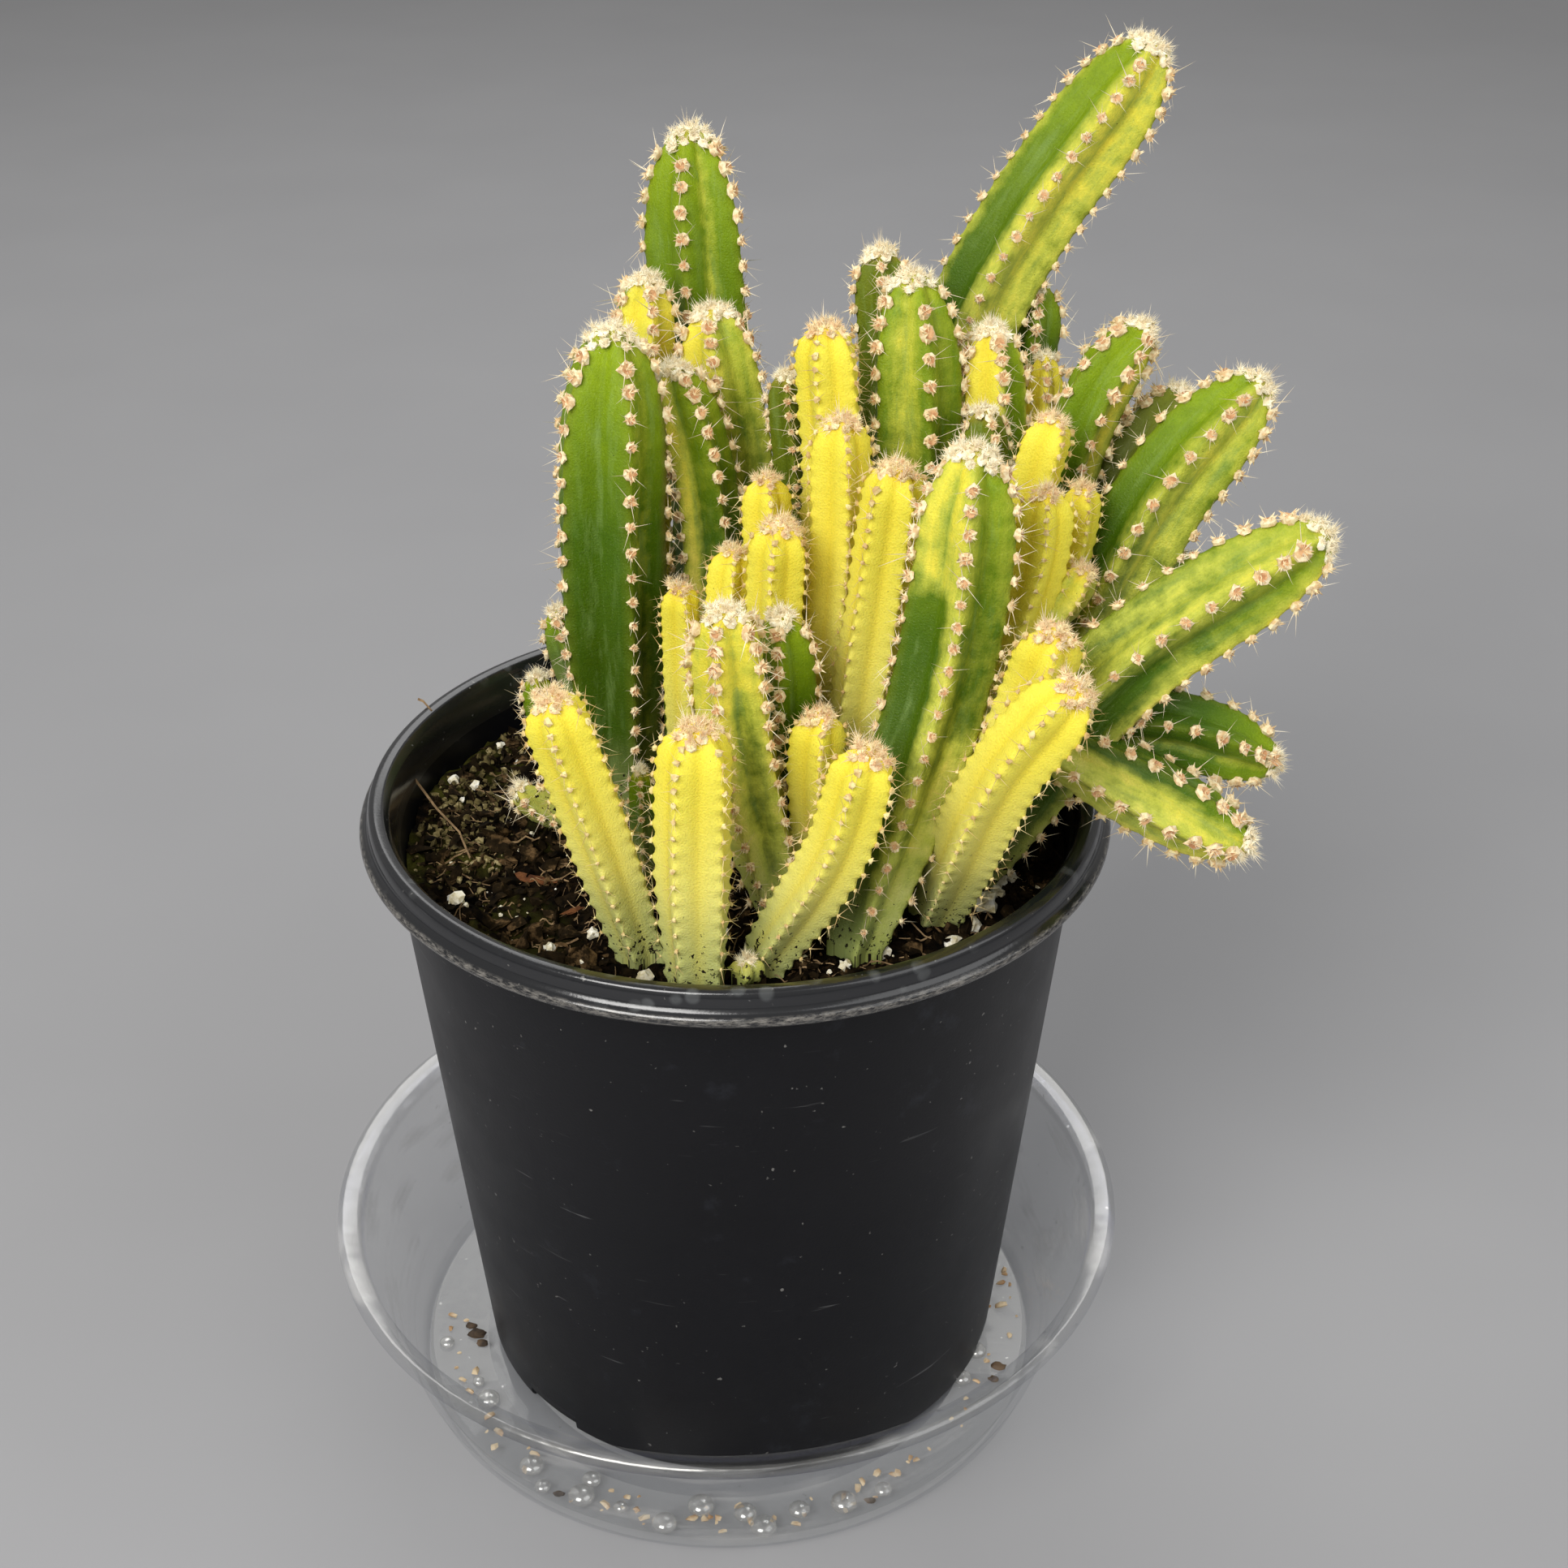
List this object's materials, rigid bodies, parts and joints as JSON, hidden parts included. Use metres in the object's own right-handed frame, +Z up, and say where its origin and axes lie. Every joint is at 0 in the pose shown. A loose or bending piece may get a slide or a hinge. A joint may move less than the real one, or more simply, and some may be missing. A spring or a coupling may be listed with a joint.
{
  "type": "potted variegated fairytale cactus",
  "caption": "Variegated fairytale cactus: a crowd of upright ribbed stems, green and yellow with woolly tips, growing in a round black nursery pot that stands in a clear saucer.",
  "frame": {"origin": "on the surface it stands on, where the pot's axis meets the saucer's flat underside", "axes": "+Z up along the pot's axis, -Y towards the front, from where the picture is taken, +X to the right, the way the tall stems lean"},
  "size_m": [0.2144, 0.184, 0.294],
  "materials": {
    "saucer_vinyl": "clear, thin and glossy, with a few water drops",
    "pot_plastic": "satin black, dusty and lightly scratched",
    "potting_soil": "coarse fibrous peat, matte, with bark and white grit",
    "green_flesh": "waxy green skin with paler flanks, satin",
    "striped_flesh": "waxy skin striped green and yellow, satin",
    "yellow_flesh": "waxy lemon yellow skin, paler at the foot, satin",
    "olive_flesh": "waxy olive brown skin, satin"
  },
  "bodies": {
    "root": {"saucer": "saucer_vinyl", "pot": "pot_plastic", "soil": "potting_soil", "stem_green_left": "green_flesh", "stem_tall_rear_left": "green_flesh", "stem_striped_rear_left": "striped_flesh", "stem_striped_behind_left": "striped_flesh", "stem_striped_left": "striped_flesh", "stem_tallest": "striped_flesh", "stem_green_centre": "green_flesh", "stem_olive_rear": "olive_flesh", "stem_yellow_tall_centre": "yellow_flesh", "stem_yellow_centre": "yellow_flesh", "stem_yellow_leaning": "yellow_flesh", "stem_striped_front": "striped_flesh", "stem_yellow_rear_right": "striped_flesh", "stem_olive_slim": "olive_flesh", "stem_green_rear_right": "green_flesh", "stem_yellow_right": "yellow_flesh", "stem_green_right": "green_flesh", "stem_low_right": "green_flesh", "stem_yellow_slim_right": "yellow_flesh", "stem_yellow_far_right": "yellow_flesh", "stem_yellow_front_right": "yellow_flesh", "stem_yellow_short_rear": "yellow_flesh", "stem_yellow_broad": "yellow_flesh", "stem_yellow_small_left": "yellow_flesh", "stem_yellow_slim_left": "yellow_flesh", "stem_striped_middle": "striped_flesh", "stem_green_short": "green_flesh", "stem_yellow_short": "yellow_flesh", "stem_yellow_front": "yellow_flesh", "stem_yellow_front_centre": "yellow_flesh", "stem_yellow_front_left": "yellow_flesh", "stem_green_pup": "green_flesh", "stem_side_pup": "striped_flesh", "stem_woolly_pup": "green_flesh", "stem_bud_front": "green_flesh", "stem_green_side": "green_flesh", "stem_dark_centre": "olive_flesh", "stem_rear_pup_left": "green_flesh", "stem_rear_pup_middle": "yellow_flesh", "stem_rear_pup_right": "striped_flesh", "stem_rear_pup_far_left": "green_flesh"}
  },
  "joints": []
}
